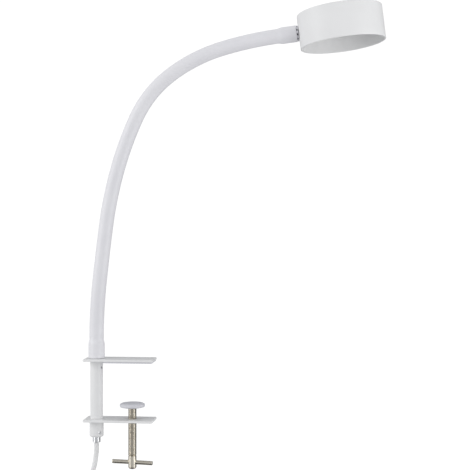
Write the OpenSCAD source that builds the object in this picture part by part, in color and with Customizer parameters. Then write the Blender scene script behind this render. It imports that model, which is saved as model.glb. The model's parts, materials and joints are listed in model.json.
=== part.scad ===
// Clamp-on examination lamp: twin-plate bench clamp, flexible arm and drum head.
// Origin: centre of the upper jaw's gripping face, on the clamping screw's axis.
// +X from the post to the head, +Z up.

/* [Clamp] */
// Length of both jaw plates
jaw_l = 100; // [90:1:120]
// Width of both jaw plates
jaw_w = 40; // [34:1:50]
// Thickness of both jaw plates
jaw_t = 3; // [2.5:0.5:4]
// Distance from the post's axis to the screw's axis
post_to_screw = 52; // [48:1:60]
// Distance from the post's axis to the near end of the plates
post_to_end = 16; // [14:1:20]
// Thickness of the grip liner under the upper jaw
liner_t = 2; // [1:0.5:3]
// Clear height from the liner to the top of the lower jaw
jaw_gap = 81; // [76:1:100]
// Outer diameter of the post
post_d = 18; // [16:1:20]
// Wall thickness of the post
post_wall = 2; // [1.5:0.5:2.5]

/* [Clamping screw] */
// Nominal thread diameter
screw_d = 12; // [10:2:14]
// Height of the pad's face below the liner
pad_drop = 58.5; // [50:0.5:66]
// Diameter of the pressure pad
pad_d = 36; // [30:1:38]
// Thickness of the pressure pad
pad_t = 5.5; // [5.5:0.5:7]
// Length of the screw below the pad
screw_l = 88; // [80:1:100]
// Length of the tommy bar
bar_l = 60; // [50:1:70]
// Diameter of the tommy bar
bar_d = 6; // [5:0.5:7]

/* [Arm] */
// Outer diameter of the sleeve
sleeve_d = 20.4; // [19:0.2:22]
// Outer diameter of the sleeve over an end fitting
bulge_d = 23.2; // [21:0.2:24]
// Outer diameter of the steel gooseneck
core_d = 13; // [12:0.5:13]
// Length of each flexible section along its centre line
section_l = 80.75; // [76:0.25:90]
// Straight length at each end of the arm
end_l = 28; // [27:1:32]

/* [Head] */
// Outer diameter of the drum
drum_d = 120; // [112:1:130]
// Height of the drum
drum_h = 48; // [46:1:54]
// Wall thickness of the drum
drum_wall = 1.8; // [1.5:0.1:2]
// Radius of the drum's upper edge
drum_edge = 2.5; // [2:0.5:5]

/* [Cord] */
// Diameter of the mains cord
cord_d = 7; // [6:0.5:8]

/* [Hidden] */

$fn = 64;

// Colours
white_paint = [0.93, 0.93, 0.94];
white_plastic = [0.88, 0.87, 0.91];
nickel = [0.78, 0.76, 0.72];
zinc = [0.66, 0.67, 0.69];
dark_steel = [0.25, 0.25, 0.27];
cable_white = [0.90, 0.90, 0.90];

// Clamp
post_x = -post_to_screw;
jaw_x0 = post_x - post_to_end;
jaw_x1 = jaw_x0 + jaw_l;
jaw_top = liner_t + jaw_t;
low_top = -jaw_gap;
low_bottom = low_top - jaw_t;
post_r = post_d / 2;
post_bore_r = post_r - post_wall;
post_tail = 6;
liner_inset = 1;
run_gap = 0.05;
rest_gap = 0.2;
lap = 1;
lap_step = 0.02;

// Cord outlet under the lower jaw
collar_r = 10;
collar_h = 23;
collar_bottom = low_bottom - collar_h;
relief_r = 5.6;
relief_mouth_r = 4.7;
relief_mouth_l = 5;
relief_top = collar_bottom + 16;
relief_bottom = collar_bottom - 8;
cord_r = cord_d / 2;

// Grub screws: height, and angle from the front towards +X
lock_z = -8;
lock_angle = 68;
lock_r = 1.6;
grub_z = -100.5;
grub_angle = 42;
grub_r = 2;

// Clamping screw: the ball at its tip snaps into the pad
screw_r = screw_d / 2 - 0.1;
pad_top = -pad_drop;
pad_bottom = pad_top - pad_t;
ball_r = 4;
ball_z = pad_bottom + 1.2;
neck_r = 3;
screw_end = pad_bottom - screw_l;
bar_z = screw_end + 9;
bar_turn = -8;

// Arm: the sections' turns in degrees, from the post to the head
turns = [6, 1.5, 8, 9.5, 29, 20, 9];
function sum_to(i) = i == 0 ? 0 : turns[i - 1] + sum_to(i - 1);
function step(turn, heading) =
    let (r = section_l / (turn * PI / 180))
    r * [cos(heading) - cos(heading + turn), 0, sin(heading + turn) - sin(heading)];
function arm_point(i) =
    i == 0 ? [post_x, 0, jaw_top + end_l] : arm_point(i - 1) + step(turns[i - 1], sum_to(i - 1));
function along(heading) = [sin(heading), 0, cos(heading)];
last = len(turns);
head_heading = sum_to(last);
arm_end = arm_point(last) + end_l * along(head_heading);
sleeve_r = sleeve_d / 2;
bulge_r = bulge_d / 2;
core_r = core_d / 2;
core_bore_r = 4;
core_gap = 5;
seam_gap = 0.01;
lead_r = 3.25;
sleeve_bore_r = core_r + 0.3;
fitting_r = 9;
fitting_l = 20;
socket_l = 15;
spigot_r = post_bore_r - run_gap;
spigot_l = 45;

// Head, in its own frame: +X away from the arm, +Z up the drum's axis, origin at the drum's centre
drum_r = drum_d / 2;
drum_in = drum_r - drum_wall;
half_h = drum_h / 2;
wall_gap = 1.6;
joint_x = -drum_r - wall_gap;
nipple_r = 5;
nipple_x0 = joint_x - 4.5;
nipple_x1 = -49;
nut_x = -57.5;
head_gap = 1;
boss_r = 8.4;
boss_x = joint_x + 1.3;
baffle_z = 9;
baffle_t = 1.5;
baffle_r = drum_in - 0.4;
bay_top = half_h - 2;
standoff_r = 50;
module_r = 42;
wire_hole = [-46, 0, 0];
board_hole = [-18, 8, 0];
board_hole_r = 1.5;
earth_spot = [34, -14, 0];
through = 20;
switch_r = 8;
switch_depth = 9.5;
rocker_z = half_h - 2;
rocker_rest = -10;

// Cord: route of the free stretch from the strain relief into the coil, and of the tail to the plug
cord_route = [
    [-52, 0, -110], [-52, 0, -118], [-52, 0, -127], [-53, 0, -135], [-54, -1, -144], [-56, -3, -153],
    [-59, -6, -163], [-63, -10, -173], [-68, -13, -183], [-74, -15, -193], [-80, -15, -203],
    [-86, -13, -214], [-90, -9, -225]
];
tail_route = [[-104, 8, -236], [-105, 7, -246], [-107, 3, -257], [-108, 0, -268]];
coil_centre = [-60, 0, -235];
coil_mean_r = 37.5;
coil_half_w = 11.5;
coil_half_t = 10.5;
coil_round = 4;
tie_t = 1.2;
tie_w = 9;
plug_x = -108;
plug_top = -268;
plug_relief_l = 32;
plug_l = 36;
plug_r = 18.5;
pin_r = 2.4;
pin_l = 19;
pin_root_r = 2;
pin_root_l = 8;
pin_pitch = 19;

// ---- shared shapes ----

module rounded_plate(x0, x1, w, z0, t, r) {
    translate([0, 0, z0])
        linear_extrude(t)
            hull()
                for (x = [x0 + r, x1 - r], y = [-w / 2 + r, w / 2 - r])
                    translate([x, y]) circle(r, $fn = 32);
}

module tube(r_out, r_in, z0, z1) {
    translate([0, 0, z0])
        difference() {
            cylinder(r = r_out, h = z1 - z0);
            translate([0, 0, -1]) cylinder(r = r_in, h = z1 - z0 + 2);
        }
}

// A cylinder that points out of a vertical axis, at an angle from the front towards +X
module side_pin(r, from, to, angle) {
    rotate([0, 0, angle]) rotate([90, 0, 0]) translate([0, 0, from]) cylinder(r = r, h = to - from);
}

// Lays a shape drawn along +Z from the origin at the end of the arm's curve, pointing back to the post
module at_arm_end() {
    translate(arm_end) rotate([0, head_heading, 0]) children();
}

module head_frame() {
    translate(arm_end) rotate([0, head_heading - 90, 0]) translate([-joint_x, 0, 0]) children();
}

// A ring swept along section i of the arm, short of the next section by gap;
// the arm's own two ends have no gap
module swept_ring(i, r_out, r_in, gap) {
    turn = turns[i - 1];
    heading = sum_to(i - 1);
    r = section_l / (turn * PI / 180);
    cut = gap / r * 180 / PI;
    first_cut = i == 1 ? 0 : cut;
    last_cut = i == last ? 0 : cut;
    centre = arm_point(i - 1) + r * [cos(heading), 0, -sin(heading)];
    translate(centre)
        rotate([90, 0, 0])
            rotate([0, 0, 180 - heading - turn + last_cut])
                rotate_extrude(angle = turn - first_cut - last_cut)
                    translate([r, 0])
                        difference() {
                            circle(r_out);
                            if (r_in > 0) circle(r_in);
                        }
}

// The sleeve's straight end over a fitting, drawn along +Z and starting a gap short of the arm's own end
module sleeve_end(gap) {
    wide_l = end_l - 8;
    steps = 8;
    thin_r = sleeve_r - lap_step;
    flare = [for (i = [0:steps])
        [thin_r + (bulge_r - thin_r) * (1 + cos(180 * i / steps)) / 2,
            wide_l + (end_l - wide_l) * i / steps]];
    rotate_extrude()
        polygon(concat(
            [[fitting_r + 0.1, gap], [bulge_r - 0.8, gap], [bulge_r, gap + 0.8]],
            flare,
            [
                [thin_r, end_l + lap], [sleeve_bore_r + lap_step, end_l + lap],
                [sleeve_bore_r + lap_step, fitting_l + 0.8], [fitting_r + 0.1, fitting_l + 0.8]
            ]));
}

// Tube with 10 sides, swept along a route by parallel transport
module swept_tube(route, r, sides = 10) {
    n = len(route);
    dirs = [for (i = [0:n - 1])
        let (a = route[max(i - 1, 0)], b = route[min(i + 1, n - 1)]) (b - a) / norm(b - a)];
    ups = carry(dirs, [[0, 1, 0]]);
    points = [for (i = [0:n - 1])
        let (u = ups[i], v = cross(dirs[i], u))
        for (k = [0:sides - 1]) route[i] + r * (cos(360 * k / sides) * u + sin(360 * k / sides) * v)];
    walls = [for (i = [0:n - 2], k = [0:sides - 1])
        let (j = (k + 1) % sides)
        [i * sides + k, (i + 1) * sides + k, (i + 1) * sides + j, i * sides + j]];
    start = [for (k = [0:sides - 1]) k];
    end = [for (k = [0:sides - 1]) n * sides - 1 - k];
    polyhedron(points, concat(walls, [start, end]));
}

function carry(dirs, ups) =
    len(ups) == len(dirs) ? ups :
    let (d = dirs[len(ups)], u = ups[len(ups) - 1] - (ups[len(ups) - 1] * d) * d)
    carry(dirs, concat(ups, [u / norm(u)]));

// ---- clamp ----

module upper_jaw() {
    color(white_paint)
        difference() {
            rounded_plate(jaw_x0, jaw_x1, jaw_w, liner_t, jaw_t, 2.5);
            translate([post_x, 0, 0]) cylinder(r = post_r, h = 20);
        }
}

module jaw_liner() {
    color(white_plastic)
        rounded_plate(post_x + post_r + 3, jaw_x1 - liner_inset, jaw_w - 2 * liner_inset, 0, liner_t, 2);
}

module lower_jaw() {
    color(white_paint)
        difference() {
            rounded_plate(jaw_x0, jaw_x1, jaw_w, low_bottom, jaw_t, 2.5);
            translate([post_x, 0, low_bottom - 1]) cylinder(r = post_r, h = jaw_t + 2);
            translate([0, 0, low_bottom - 1]) cylinder(r = screw_d / 2, h = jaw_t + 2);
        }
}

module post() {
    color(white_paint)
        translate([post_x, 0, 0])
            difference() {
                tube(post_r, post_bore_r, low_bottom - post_tail, jaw_top);
                translate([0, 0, lock_z]) side_pin(lock_r + run_gap, post_bore_r - 1, post_r + 1, lock_angle);
            }
}

module end_collar() {
    chamfer = 1.5;
    color(white_paint)
        translate([post_x, 0, 0])
            difference() {
                rotate_extrude()
                    polygon([
                        [relief_r, collar_bottom], [collar_r - chamfer, collar_bottom],
                        [collar_r, collar_bottom + chamfer], [collar_r, low_bottom], [post_r, low_bottom],
                        [post_r, low_bottom - post_tail], [relief_r, low_bottom - post_tail]
                    ]);
                translate([0, 0, grub_z]) side_pin(grub_r + run_gap, relief_r - 1, collar_r + 1, grub_angle);
            }
}

// Socket grub screw with a hexagon recess
module grub_screw(r, from, to, angle) {
    difference() {
        side_pin(r, from, to, angle);
        rotate([0, 0, angle])
            rotate([90, 0, 0])
                translate([0, 0, to - 1.5]) cylinder(r = r * 0.55, h = 3, $fn = 6);
    }
}

module collar_screw() {
    color(zinc)
        translate([post_x, 0, grub_z]) grub_screw(grub_r, relief_r, collar_r - 0.8, grub_angle);
}

module arm_lock_screw() {
    color(zinc)
        translate([post_x, 0, lock_z]) grub_screw(lock_r, spigot_r - 0.5, post_r - 0.6, lock_angle);
}

module strain_relief() {
    mouth_top = relief_bottom + relief_mouth_l;
    color(zinc)
        translate([post_x, 0, 0])
            rotate_extrude()
                polygon([
                    [0, mouth_top], [relief_mouth_r, mouth_top], [relief_mouth_r, relief_bottom],
                    [relief_r - 0.3, relief_bottom], [relief_r, relief_bottom + 0.3], [relief_r, relief_top],
                    [0, relief_top]
                ]);
}

module post_lead() {
    color(cable_white)
        translate([post_x, 0, relief_top])
            cylinder(r = lead_r, h = jaw_top - spigot_l - relief_top);
}

// ---- clamping screw ----

module pressure_pad() {
    dome = 1.2;
    color(white_plastic)
        difference() {
            rotate_extrude()
                polygon([
                    [0, pad_bottom], [pad_d / 2 - 0.8, pad_bottom], [pad_d / 2, pad_bottom + 0.8],
                    [pad_d / 2, pad_top - dome], [pad_d / 2 - 0.4, pad_top - dome / 3],
                    [pad_d / 2 - dome, pad_top], [0, pad_top]
                ]);
            translate([0, 0, ball_z]) sphere(r = ball_r + 0.1);
            translate([0, 0, pad_bottom - 1]) cylinder(r = ball_r - 0.3, h = 2);
        }
}

module clamp_screw() {
    shoulder = pad_bottom - 1;
    chamfer = 1.4;
    color(nickel)
        difference() {
            union() {
                translate([0, 0, ball_z]) sphere(r = ball_r);
                translate([0, 0, shoulder - 1]) cylinder(r = neck_r, h = ball_z - shoulder + 1);
                rotate_extrude()
                    polygon([
                        [0, screw_end], [screw_r - 2.5, screw_end], [screw_r - 0.9, screw_end + 0.6],
                        [screw_r, screw_end + 2.2], [screw_r, shoulder - chamfer],
                        [screw_r - chamfer, shoulder], [0, shoulder]
                    ]);
            }
            translate([0, 0, bar_z]) side_pin(bar_d / 2, -screw_d, screw_d, 90 + bar_turn);
        }
}

module tommy_bar() {
    bevel = 0.6;
    color(nickel)
        translate([0, 0, bar_z])
            rotate([0, 0, 90 + bar_turn])
                rotate([90, 0, 0])
                    rotate_extrude()
                        polygon([
                            [0, -bar_l / 2], [bar_d / 2 - bevel, -bar_l / 2], [bar_d / 2, bevel - bar_l / 2],
                            [bar_d / 2, bar_l / 2 - bevel], [bar_d / 2 - bevel, bar_l / 2], [0, bar_l / 2]
                        ]);
}

// ---- arm ----

module arm_spigot() {
    groove = 3;
    z0 = jaw_top - spigot_l;
    z1 = jaw_top + rest_gap;
    z2 = jaw_top + fitting_l;
    color(zinc)
        translate([post_x, 0, 0])
            rotate_extrude()
                polygon([
                    [core_bore_r, z0], [spigot_r, z0], [spigot_r, lock_z - groove],
                    [spigot_r - 0.6, lock_z - groove],
                    [spigot_r - 0.6, lock_z + groove], [spigot_r, lock_z + groove], [spigot_r, z1],
                    [fitting_r, z1], [fitting_r, z2], [core_r + run_gap, z2],
                    [core_r + run_gap, z2 - socket_l],
                    [core_bore_r, z2 - socket_l]
                ]);
}

module sleeve(i) {
    color([0.88, 0.87, 0.91]) {
        swept_ring(i, sleeve_r, sleeve_bore_r, seam_gap);
        if (i == 1) translate([post_x, 0, jaw_top]) sleeve_end(rest_gap);
        if (i == last) at_arm_end() mirror([0, 0, 1]) sleeve_end(head_gap);
    }
}

// Straight end of the gooseneck in a fitting, lapped a little into the curved stretch
module core_end(from) {
    tube(core_r - lap_step, core_bore_r + lap_step, from, end_l + lap);
}

module core(i) {
    socket = fitting_l - socket_l + rest_gap;
    color(zinc) {
        swept_ring(i, core_r, core_bore_r, core_gap);
        if (i == 1) translate([post_x, 0, jaw_top]) core_end(socket);
        if (i == last) at_arm_end() mirror([0, 0, 1]) core_end(socket);
    }
}

module lead(i) {
    nipple_end = nipple_x1 - joint_x;
    color(cable_white) {
        swept_ring(i, lead_r, 0, seam_gap);
        if (i == 1)
            translate([post_x, 0, jaw_top - spigot_l])
                cylinder(r = lead_r - lap_step, h = spigot_l + end_l + lap);
        if (i == last)
            at_arm_end()
                translate([0, 0, -end_l - lap]) cylinder(r = lead_r - lap_step, h = end_l + lap + nipple_end);
    }
}

module sleeve_1() { sleeve(1); }
module sleeve_2() { sleeve(2); }
module sleeve_3() { sleeve(3); }
module sleeve_4() { sleeve(4); }
module sleeve_5() { sleeve(5); }
module sleeve_6() { sleeve(6); }
module sleeve_7() { sleeve(7); }
module core_1() { core(1); }
module core_2() { core(2); }
module core_3() { core(3); }
module core_4() { core(4); }
module core_5() { core(5); }
module core_6() { core(6); }
module core_7() { core(7); }
module lead_1() { lead(1); }
module lead_2() { lead(2); }
module lead_3() { lead(3); }
module lead_4() { lead(4); }
module lead_5() { lead(5); }
module lead_6() { lead(6); }
module lead_7() { lead(7); }

// ---- joint between arm and head ----

module head_ferrule() {
    face = head_gap + rest_gap;
    boss = boss_x - joint_x;
    color(dark_steel)
        at_arm_end()
            rotate_extrude()
                polygon([
                    [nipple_r, boss], [boss_r, boss], [boss_r, -face], [fitting_r, -face],
                    [fitting_r, -fitting_l], [core_r + run_gap, -fitting_l],
                    [core_r + run_gap, socket_l - fitting_l], [nipple_r, socket_l - fitting_l]
                ]);
}

module head_nipple() {
    color(zinc)
        head_frame()
            rotate([0, 90, 0]) tube(nipple_r, lead_r + 0.15, nipple_x0, nipple_x1);
}

// Ring round the ferrule's boss: a thin web against the drum, with teeth that stand from it towards the arm
module toothed_washer() {
    teeth = 10;
    tooth_r = 11;
    notch_w = 3;
    web = 0.5;
    thick = 2.2;
    color(white_plastic)
        head_frame()
            translate([boss_x + 0.1, 0, 0])
                rotate([0, -90, 0])
                    difference() {
                        cylinder(r = tooth_r, h = thick);
                        translate([0, 0, -1]) cylinder(r = boss_r + 0.1, h = 4);
                        for (k = [0:teeth - 1])
                            rotate([0, 0, 360 * k / teeth])
                                translate([boss_r - 1, -notch_w / 2, web]) cube([5, notch_w, thick]);
                    }
}

module lock_nut() {
    color(nickel)
        head_frame()
            translate([nut_x, 0, 0])
                rotate([0, 90, 0])
                    difference() {
                        cylinder(r = 8, h = 4, $fn = 6);
                        translate([0, 0, -1]) cylinder(r = nipple_r, h = 6);
                    }
}

// ---- head ----

// Outline of half the drum's wall, with a rounded upper edge
module shade_outline() {
    steps = 6;
    outer = [for (i = [0:steps])
        [drum_r - drum_edge + drum_edge * cos(90 * i / steps),
            half_h - drum_edge + drum_edge * sin(90 * i / steps)]];
    inner_r = drum_edge - drum_wall;
    inner = [for (i = [0:steps])
        [drum_in - inner_r + inner_r * sin(90 * i / steps),
            bay_top - inner_r + inner_r * cos(90 * i / steps)]];
    polygon(concat(
        [[drum_in + 0.4, -half_h], [drum_r - 0.4, -half_h], [drum_r, 0.4 - half_h]],
        outer,
        [[0, half_h], [0, bay_top]],
        inner,
        [[drum_in, 0.4 - half_h]]));
}

module shade() {
    color(white_paint)
        head_frame()
            difference() {
                rotate_extrude($fn = 96) shade_outline();
                translate([-drum_r - 2, 0, 0]) rotate([0, 90, 0]) cylinder(r = nipple_r + 0.1, h = 6);
                cylinder(r = switch_r + 0.05, h = drum_h);
            }
}

module standoff_spots() {
    for (a = [90, 210, 330])
        rotate([0, 0, a]) translate([standoff_r, 0, 0]) children();
}

module standoffs() {
    color(zinc)
        head_frame()
            standoff_spots()
                difference() {
                    translate([0, 0, baffle_z + baffle_t])
                        cylinder(r = 3.2, h = bay_top - baffle_z - baffle_t, $fn = 6);
                    cylinder(r = 1.5, h = baffle_z + baffle_t + 7);
                }
}

module baffle_plate() {
    color(white_paint)
        head_frame()
            difference() {
                translate([0, 0, baffle_z]) cylinder(r = baffle_r, h = baffle_t);
                standoff_spots() cylinder(r = 1.6, h = through);
                translate(wire_hole) cylinder(r = 3.5, h = through);
                translate(board_hole) cylinder(r = board_hole_r, h = through);
                translate(earth_spot) cylinder(r = 1.95, h = through);
            }
}

module baffle_screws() {
    color(zinc)
        head_frame()
            standoff_spots() {
                translate([0, 0, baffle_z - 2])
                    difference() {
                        cylinder(r1 = 2.4, r2 = 2.9, h = 2);
                        translate([0, 0, -0.5]) cylinder(r = 1.2, h = 1.6, $fn = 6);
                    }
                translate([0, 0, baffle_z]) cylinder(r = 1.45, h = 7);
            }
}

module heat_sink() {
    color([0.75, 0.76, 0.78])
        head_frame()
            difference() {
                translate([0, 0, 6]) cylinder(r = module_r - 2.1, h = 3);
                translate(board_hole) cylinder(r = board_hole_r, h = through);
            }
}

module led_board() {
    color([0.93, 0.94, 0.93])
        head_frame()
            difference() {
                translate([0, 0, 4.4]) cylinder(r = 37, h = 1.6);
                translate(board_hole) cylinder(r = board_hole_r, h = through);
            }
}

// Rings of light-emitting chips, clear of the board's wire hole
module leds() {
    size = 3.5;
    color([0.96, 0.86, 0.45])
        head_frame()
            for (ring = [[0, 1], [14, 6], [28, 12]], k = [0:ring[1] - 1])
                rotate([0, 0, 360 * k / ring[1]])
                    translate([ring[0] - size / 2, -size / 2, 3.6]) cube([size, size, 0.8]);
}

module diffuser() {
    color([0.95, 0.95, 0.95, 0.7])
        head_frame()
            translate([0, 0, 1.2]) cylinder(r = module_r - 2.2, h = 2.2);
}

module bezel() {
    color(white_paint)
        head_frame()
            rotate_extrude()
                polygon([
                    [module_r - 4, 0], [module_r - 0.8, 0], [module_r, 0.8], [module_r, baffle_z],
                    [module_r - 2, baffle_z], [module_r - 2, 1.2], [module_r - 4, 1.2]
                ]);
}

module led_driver() {
    color([0.92, 0.92, 0.90])
        head_frame()
            difference() {
                translate([-20, 14, baffle_z + baffle_t]) cube([40, 24, 9.5]);
                for (x = [-18.5, 16.5])
                    translate([x, 12, baffle_z + baffle_t + 7]) cube([2, 4, 4]);
            }
}

module terminal_block() {
    color([0.95, 0.95, 0.93])
        head_frame()
            difference() {
                translate([-36, -22, baffle_z + baffle_t]) cube([18, 10, 9]);
                for (x = [-33, -27, -21])
                    translate([x, -17, baffle_z + baffle_t + 4]) cylinder(r = 1.5, h = 10);
            }
}

module earth_screw() {
    color(zinc)
        head_frame()
            translate(earth_spot) {
                translate([0, 0, baffle_z]) cylinder(r = 1.9, h = baffle_t + 1);
                translate([0, 0, baffle_z + baffle_t]) cylinder(r = 3.6, h = 2.4);
            }
}

// Cores from the lead to the terminals, then pairs to the driver, the board and the switch
module head_wiring() {
    core_wire = 0.75;
    thin_wire = 0.6;
    color([0.35, 0.45, 0.70])
        head_frame() {
            for (k = [0:2])
                let (y = 2 * k - 2, x = 6 * k - 33)
                swept_tube([
                    [-48.9, y, 0], [-48.3, y, 0], [-47.2, y, 1.2], [-46.4, y, 4], [-46, y, 9],
                    [-45, y - 0.4, 12],
                    [(x - 44) / 2, y / 2 - 5, 13.4], [x - 0.8, -9, 13.6], [x, -10.6, 13.6], [x, -11.9, 13.6]
                ], core_wire, 8);
            for (k = [0, 1])
                let (y = 2.5 * k - 18, x = -11 - 3 * k)
                swept_tube([
                    [-17.9, y, 14], [-16.4, y, 14], [x - 1, y + 1, 14], [x, y + 3, 13.8],
                    [x, 0, 13.4], [x, 8, 13.8], [x, 12, 14.8], [x, 13.9, 14.8]
                ], core_wire, 8);
            for (x = [-18.8, -17.2])
                swept_tube([
                    [x, 13.9, 13.3], [x, 11.5, 13.3], [x, 9, 12.2], [x, 8, 10], [x, 8, 5.5]
                ], thin_wire, 8);
            for (k = [0, 1])
                let (y = 1.6 * k)
                swept_tube([
                    [-3, y, 14.4], [-3, y, 13.4], [-5 - y / 2, y - 1, 11.8], [-9 - y / 2, y - 6, 11.4],
                    [-13 - y / 2, y - 11, 11.4],
                    [-16.4, y - 14.4, 11.8], [-17.9, y - 14.4, 11.8]
                ], thin_wire, 8);
        }
}

// ---- switch in the drum's top ----

module switch_body() {
    color([0.10, 0.10, 0.11])
        head_frame()
            difference() {
                rotate_extrude()
                    polygon([
                        [0, half_h - switch_depth], [switch_r, half_h - switch_depth],
                        [switch_r, half_h + 0.05],
                        [10, half_h + 0.05], [10, half_h + 1], [9.2, half_h + 1.8], [0, half_h + 1.8]
                    ]);
                translate([-6.9, -4.4, rocker_z - 4.5]) cube([13.8, 8.8, 12]);
                translate([0, 6, rocker_z]) rotate([90, 0, 0]) cylinder(r = 1.05, h = 12);
            }
}

module switch_rocker() {
    color([0.92, 0.92, 0.92])
        head_frame()
            translate([0, 0, rocker_z])
                rotate([0, rocker_rest, 0])
                    rotate([90, 0, 0]) {
                        translate([0, 0, -4.2])
                            linear_extrude(8.4)
                                polygon([[-3, -3], [3, -3], [6, 0], [6.1, 4.2], [0, 3.2], [-6.1, 4.2],
                                    [-6, 0]]);
                        translate([0, 0, -5.8]) cylinder(r = 1, h = 11.6);
                    }
}

// ---- cord ----

module mains_cord() {
    color(cable_white) swept_tube(cord_route, cord_r);
}

module cord_tail() {
    color(cable_white) swept_tube(tail_route, cord_r);
}

module coil_section() {
    for (x = [-1, 1], y = [-1, 1])
        translate([x * (coil_half_t - coil_round), y * (coil_half_w - coil_round)])
            circle(coil_round, $fn = 32);
}

module cord_coil() {
    color(cable_white)
        translate(coil_centre)
            rotate([90, 0, 0])
                rotate_extrude() translate([coil_mean_r, 0]) hull() coil_section();
}

module coil_ties() {
    out_t = coil_half_t + tie_t;
    out_w = coil_half_w + tie_t;
    color(white_plastic)
        translate(coil_centre)
            for (a = [60, 240])
                rotate([0, -a, 0])
                    translate([coil_mean_r, 0, 0])
                        difference() {
                            cube([2 * out_t, 2 * out_w, tie_w], center = true);
                            cube([2 * coil_half_t + 0.6, 2 * coil_half_w + 0.1, tie_w + 1], center = true);
                        }
}

module plug_body() {
    z1 = plug_top - plug_relief_l;
    z2 = z1 - plug_l;
    color(cable_white)
        translate([plug_x, 0, 0])
            difference() {
                rotate_extrude()
                    polygon([
                        [0, plug_top], [4.6, plug_top], [6.2, z1 + 8], [7.5, z1], [13, z1 - 4], [16, z1 - 12],
                        [plug_r, z1 - 16], [plug_r, z2], [0, z2]
                    ]);
                for (x = [-1, 1])
                    translate([x * pin_pitch / 2, 0, z2 - 1]) cylinder(r = pin_root_r, h = pin_root_l + 1);
                for (y = [-1, 1])
                    translate([-2.6, y * plug_r - 1.6, z2 - 1]) cube([5.2, 3.2, 17]);
            }
}

module plug_pins() {
    z2 = plug_top - plug_relief_l - plug_l;
    color(nickel)
        for (x = [-1, 1])
            translate([plug_x + x * pin_pitch / 2, 0, z2 - pin_l])
                rotate_extrude()
                    polygon([
                        [0, 0], [pin_r - 0.9, 0], [pin_r, 1.4], [pin_r, pin_l], [pin_root_r, pin_l],
                        [pin_root_r, pin_l + pin_root_l], [0, pin_l + pin_root_l]
                    ]);
}

module plug_earth() {
    z2 = plug_top - plug_relief_l - plug_l;
    color(nickel)
        for (y = [-1, 1])
            translate([plug_x - 2.4, y * (plug_r - 1.05) - 0.45, z2]) cube([4.8, 0.9, 15.8]);
}

upper_jaw();
jaw_liner();
lower_jaw();
post();
end_collar();
collar_screw();
arm_lock_screw();
strain_relief();
post_lead();
pressure_pad();
clamp_screw();
tommy_bar();
arm_spigot();
sleeve_1();
sleeve_2();
sleeve_3();
sleeve_4();
sleeve_5();
sleeve_6();
sleeve_7();
core_1();
core_2();
core_3();
core_4();
core_5();
core_6();
core_7();
lead_1();
lead_2();
lead_3();
lead_4();
lead_5();
lead_6();
lead_7();
head_ferrule();
head_nipple();
toothed_washer();
lock_nut();
shade();
standoffs();
baffle_plate();
baffle_screws();
heat_sink();
led_board();
leds();
diffuser();
bezel();
led_driver();
terminal_block();
earth_screw();
head_wiring();
switch_body();
switch_rocker();
mains_cord();
cord_coil();
coil_ties();
cord_tail();
plug_body();
plug_pins();
plug_earth();
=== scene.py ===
"""Clamp-on examination lamp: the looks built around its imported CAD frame.

Everything is in metres in the CAD frame: +X from the post towards the head, +Z up, with the origin at the
centre of the upper jaw's gripping face. Profiles and outlines are written in millimetres and scaled by MM.
"""

import json
import math

import bmesh
import bpy
from mathutils import Matrix, Vector


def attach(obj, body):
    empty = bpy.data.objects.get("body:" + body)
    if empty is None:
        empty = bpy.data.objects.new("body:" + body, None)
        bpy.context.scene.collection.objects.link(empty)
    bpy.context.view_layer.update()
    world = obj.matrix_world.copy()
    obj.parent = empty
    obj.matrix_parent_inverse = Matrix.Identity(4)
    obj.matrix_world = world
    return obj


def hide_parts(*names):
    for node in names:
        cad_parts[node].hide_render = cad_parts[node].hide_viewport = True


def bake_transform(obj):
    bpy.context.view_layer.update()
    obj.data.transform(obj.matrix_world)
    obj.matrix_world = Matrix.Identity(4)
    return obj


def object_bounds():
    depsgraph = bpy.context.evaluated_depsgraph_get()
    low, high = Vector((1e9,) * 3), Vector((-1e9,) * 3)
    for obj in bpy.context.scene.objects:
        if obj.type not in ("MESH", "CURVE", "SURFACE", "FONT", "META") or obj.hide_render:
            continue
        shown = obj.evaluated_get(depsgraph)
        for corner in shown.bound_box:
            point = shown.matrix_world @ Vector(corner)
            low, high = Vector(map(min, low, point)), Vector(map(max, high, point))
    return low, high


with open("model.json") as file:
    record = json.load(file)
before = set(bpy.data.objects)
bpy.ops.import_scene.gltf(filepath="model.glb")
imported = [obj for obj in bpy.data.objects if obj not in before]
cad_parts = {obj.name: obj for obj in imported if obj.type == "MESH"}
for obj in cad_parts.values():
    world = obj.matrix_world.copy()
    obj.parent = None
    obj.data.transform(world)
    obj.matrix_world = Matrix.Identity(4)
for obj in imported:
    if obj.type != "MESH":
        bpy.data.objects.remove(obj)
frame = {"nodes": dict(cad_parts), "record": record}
cad_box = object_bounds()

MM = 0.001
SMOOTH_ANGLE = math.radians(35)

# Clamp
POST_X = -52
JAW_X = (-68, 32)
JAW_W = 40
UPPER_Z = (2, 5)
LOWER_Z = (-84, -81)
LINER_X = (-40, 31)
POST_R = 9
POST_BORE_R = 7
POST_Z = (-90, UPPER_Z[1])
COLLAR_R = 10
COLLAR_Z = (-107, -84)
RELIEF_Z = (-115, -91)
LOCK_SCREW = {"z": -8, "angle": 68, "r": 1.6, "axis_r": POST_R}
COLLAR_SCREW = {"z": -100.5, "angle": 42, "r": 2, "axis_r": COLLAR_R}

# Clamping screw
PAD_Z = (-64, -58.5)
PAD_R = 18
SCREW_R = 5.9
THREAD_PITCH = 1.75
THREAD_Z = (-134, -65)
SCREW_END = -152
BALL_Z = -62.8
BALL_R = 4
BAR_Z = -143
BAR_L = 60
BAR_R = 3
BAR_TURN = math.radians(-8)
SCREW_HOLE_R = 6

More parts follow.
